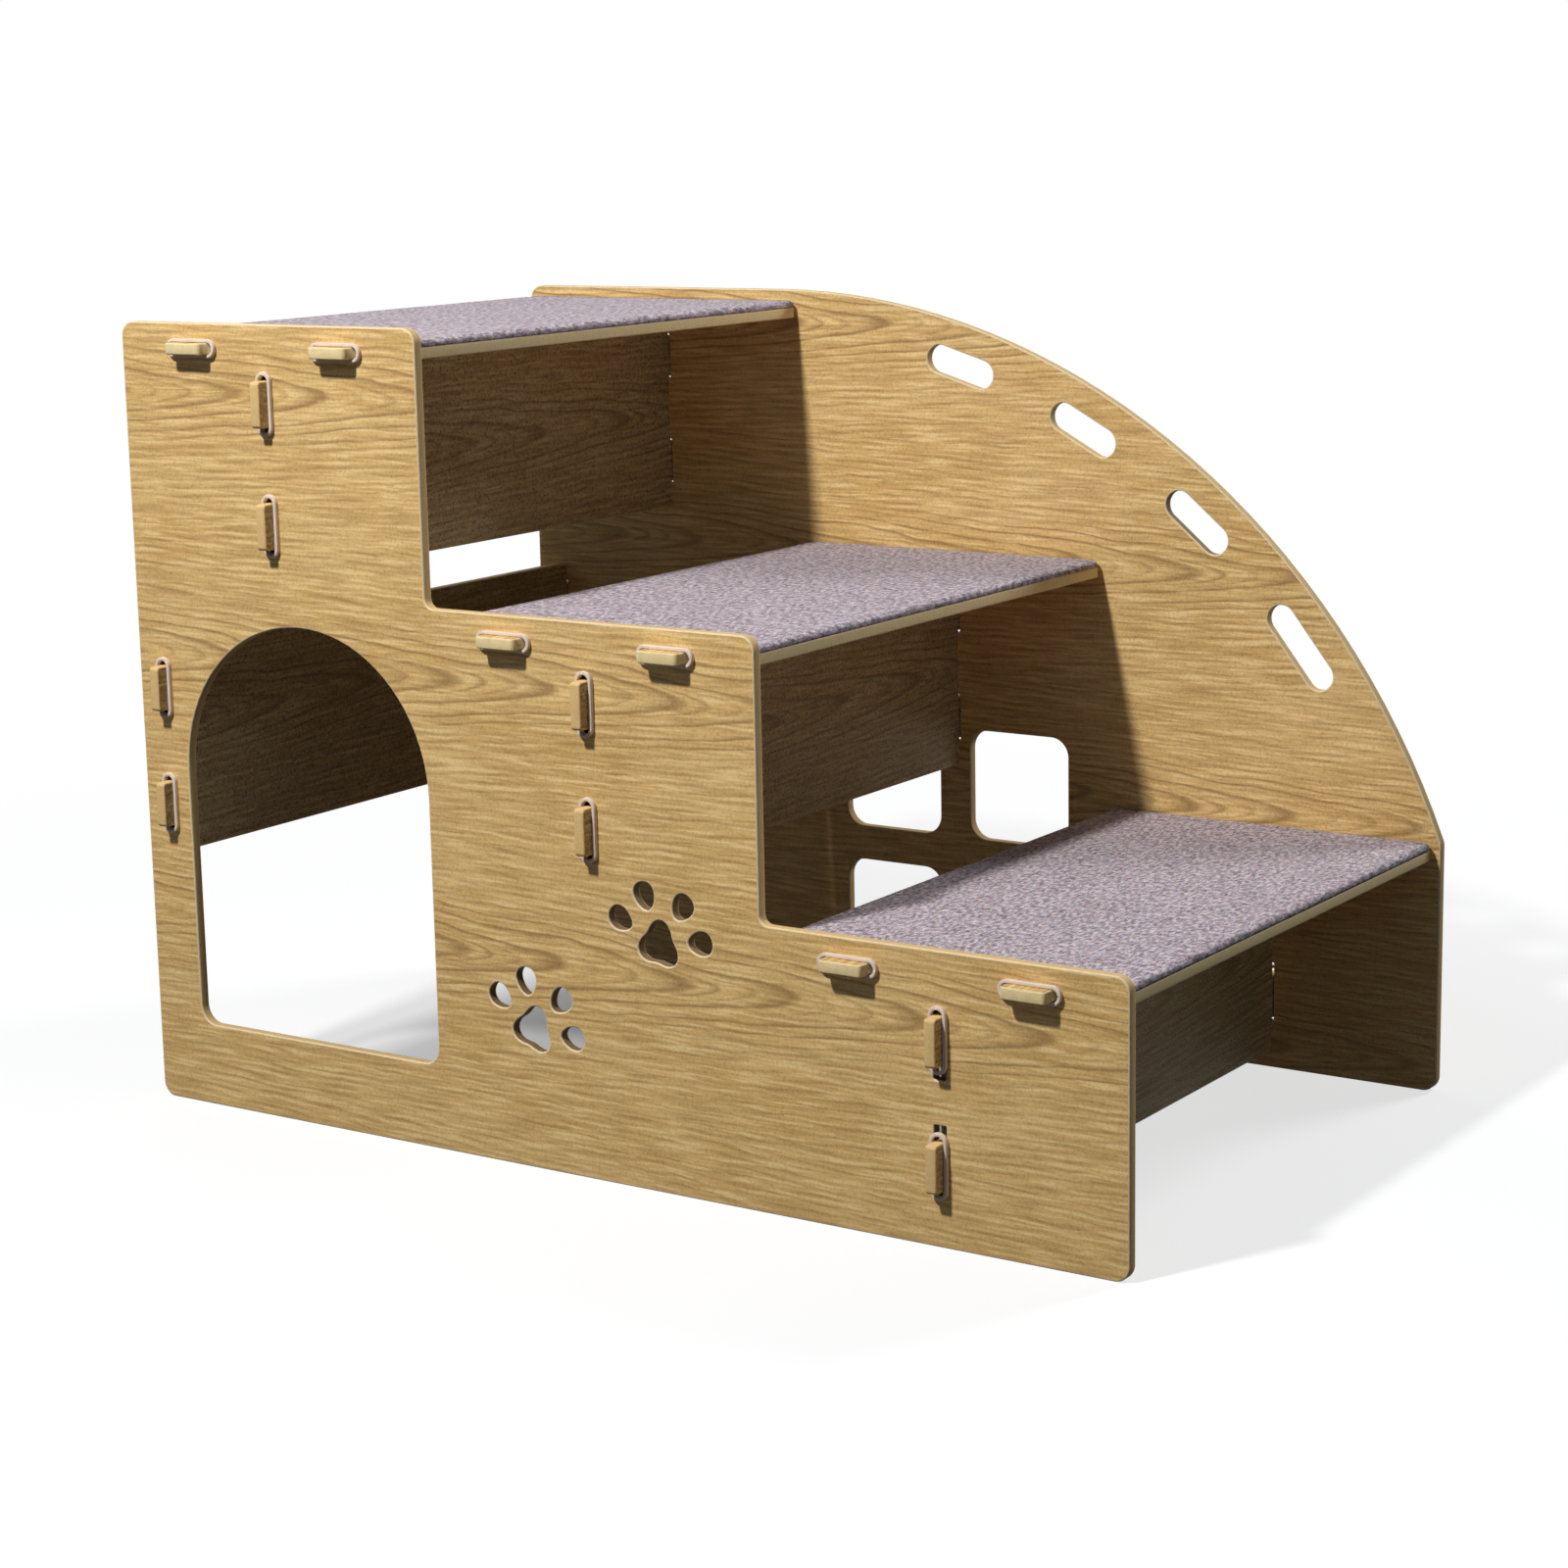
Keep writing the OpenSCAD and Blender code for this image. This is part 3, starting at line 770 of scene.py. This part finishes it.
def setCollars(name, side, tree):
    spots, turns, nodes = [], [], []
    for board, node, axis, printName in boards:
        if printName in ("nearPanel", "farPanel"):
            continue
        node += "_" + side + "_collars"
        lying = axis == 2
        for spot, size in ringMiddles(node, 0 if lying else 2):
            spots.append(spot)
            turns.append(0.0 if lying else math.pi / 2)
            if lying:
                length, depth, width = size
        nodes.append(node)
    mesh = bpy.data.meshes.new(name + "Tongues")
    mesh.from_pydata(spots, [], [])
    mesh.attributes.new("quarterTurn", "FLOAT", "POINT").data.foreach_set("value", turns)
    holder = newObject(name + "Tongues", mesh)
    modifier = holder.modifiers.new("collars", "NODES")
    modifier.node_group = tree
    values = {"Length": length, "Width": width, "Wall": collarMould["wall"], "Depth": depth,
              "Edge radius": collarMould["round"], "Plastic": collarPlastic}
    for item in tree.interface.items_tree:
        if item.in_out == "INPUT" and item.name in values:
            modifier[item.identifier] = values[item.name]
    graph = bpy.context.evaluated_depsgraph_get()
    made = bpy.data.meshes.new_from_object(holder.evaluated_get(graph))
    made.name = name
    bpy.data.objects.remove(holder)
    bm = bmesh.new()
    bm.from_mesh(made)
    bmesh.ops.recalc_face_normals(bm, faces=bm.faces)
    bm.to_mesh(made)
    bm.free()
    obj = newObject(name, made)
    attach(obj, "root")
    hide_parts(*nodes)
    print("stairs:", name, "has", len(made.polygons), "faces")


collarNodes = collarTree()
setCollars("nearCollars", "near", collarNodes)
setCollars("farCollars", "far", collarNodes)
print("stairs: collars set")


# Studio: pale floor, a key lamp above the front, a lamp behind each end and a dim dome. Places
# and sizes are in metres, powers in watts.
studio = {
    "floorSize": 30.0,
    "floorShade": 0.05,             # what the floor throws back on the stairs
    "floorSeen": 0.30,              # how much of the light and shade on it is seen
    "floorFade": 1.4,               # beyond 0.8 of this distance from the middle the floor is plain white
    "darkMiddle": -0.05,            # along x, of the painted shade on the floor under the stairs
    "darkHalf": (0.25, 0.172),
    "darkDepth": 5.8,               # how soon the painted shade deepens inwards from its rim, per metre
    "aim": (0, 0, 0.2),
    "keyPlace": (-0.222, -1.269, 1.665), "keySize": 0.138, "keyPower": 37.5,
    "sidePlace": (1.0, 2.0, 1.8), "sideSize": 0.8, "sidePower": 38.0,
    "backPlace": (-1.4, 1.1, 1.2), "backSize": 1.2, "backPower": 6.0,
    "domeLow": 0.015, "domeHigh": 0.06, "domeFront": 0.12,      # all round, overhead and in front
    "domeTint": (0.80, 0.96, 1.25, 1),                          # what it throws; it is seen white
}


def seenDirectly(tree):
    path = addNode(tree, "ShaderNodeLightPath").outputs
    seen = calc(tree, "MAXIMUM", path["Is Camera Ray"], path["Is Glossy Ray"])
    return calc(tree, "MAXIMUM", seen, path["Is Transmission Ray"])


def makeFloor():
    size = studio["floorSize"] / 2
    mesh = bpy.data.meshes.new("floor")
    corners = [(-size, -size, 0), (size, -size, 0), (size, size, 0), (-size, size, 0)]
    mesh.from_pydata(corners, [], [(0, 1, 2, 3)])
    floor = newObject("floor", mesh)
    material = bpy.data.materials.new("paleFloor")
    material.use_nodes = True
    tree = material.node_tree
    tree.nodes.remove(tree.nodes["Principled BSDF"])
    output = tree.nodes["Material Output"]
    where = addNode(tree, "ShaderNodeTexCoord").outputs["Object"]
    length = addNode(tree, "ShaderNodeVectorMath", operation="LENGTH")
    tree.links.new(where, length.inputs[0])
    away = calc(tree, "DIVIDE", length.outputs["Value"], studio["floorFade"])
    away = ramp(tree, away, [(0.30, 0.0), (0.80, 1.0)])
    # Under the stairs, behind the bottom riser, the floor's glow is turned down as painted shade
    x, y, z = splitXyz(tree, where)
    halfX, halfY = studio["darkHalf"]
    fromMiddle = calc(tree, "ABSOLUTE", calc(tree, "SUBTRACT", x, studio["darkMiddle"]))
    overX = calc(tree, "SUBTRACT", fromMiddle, halfX)
    overY = calc(tree, "SUBTRACT", calc(tree, "ABSOLUTE", y), halfY)
    inside = calc(tree, "MULTIPLY", calc(tree, "MAXIMUM", overX, overY), -studio["darkDepth"])
    lit = ramp(tree, inside, [(0.06, 0.70), (0.35, 0.26), (0.90, 0.12)])

    def matt(shade):
        node = addNode(tree, "ShaderNodeBsdfDiffuse")
        node.inputs["Color"].default_value = (shade, shade, shade, 1)
        return node.outputs[0]

    def glow(strength):
        node = addNode(tree, "ShaderNodeEmission")
        node.inputs["Color"].default_value = (1, 1, 1, 1)
        plug(tree, strength, node.inputs["Strength"])
        return node.outputs[0]

    def mixShader(share, first, second):
        node = addNode(tree, "ShaderNodeMixShader")
        for value, socket in zip((share, first, second), node.inputs):
            tree.links.new(value, socket)
        return node.outputs[0]

    near = addNode(tree, "ShaderNodeAddShader")
    tree.links.new(matt(studio["floorSeen"]), near.inputs[0])
    tree.links.new(glow(lit), near.inputs[1])
    seen = mixShader(away, near.outputs[0], glow(1.0))
    both = mixShader(seenDirectly(tree), matt(studio["floorShade"]), seen)
    tree.links.new(both, output.inputs["Surface"])
    mesh.materials.append(material)


def addLamp(name):
    data = bpy.data.lights.new(name, "AREA")
    data.shape = "DISK"
    data.size = studio[name + "Size"]
    data.energy = studio[name + "Power"]
    obj = newObject(name, data)
    obj.location = studio[name + "Place"]
    obj.rotation_euler = (Vector(studio["aim"]) - obj.location).to_track_quat("-Z", "Y").to_euler()


def makeDome():
    world = bpy.data.worlds.new("dome")
    bpy.context.scene.world = world
    world.use_nodes = True
    tree = world.node_tree
    background = tree.nodes["Background"]
    where = addNode(tree, "ShaderNodeTexCoord").outputs["Generated"]
    x, y, z = splitXyz(tree, where)
    up = calc(tree, "MAXIMUM", z, 0.0)
    front = calc(tree, "MAXIMUM", calc(tree, "MULTIPLY", y, -1.0), 0.0)
    glow = calc(tree, "ADD", calc(tree, "MULTIPLY", up, studio["domeHigh"]), studio["domeLow"])
    glow = calc(tree, "ADD", glow, calc(tree, "MULTIPLY", front, studio["domeFront"]))
    seen = seenDirectly(tree)
    strength = calc(tree, "MAXIMUM", seen, glow)
    tree.links.new(strength, background.inputs["Strength"])
    tint = mixColour(tree, seen, studio["domeTint"], (1, 1, 1, 1))
    tree.links.new(tint, background.inputs["Color"])


makeFloor()
for lamp in ("key", "side", "back"):
    addLamp(lamp)
makeDome()
bpy.context.scene.view_settings.view_transform = "Standard"
print("stairs: studio lit")
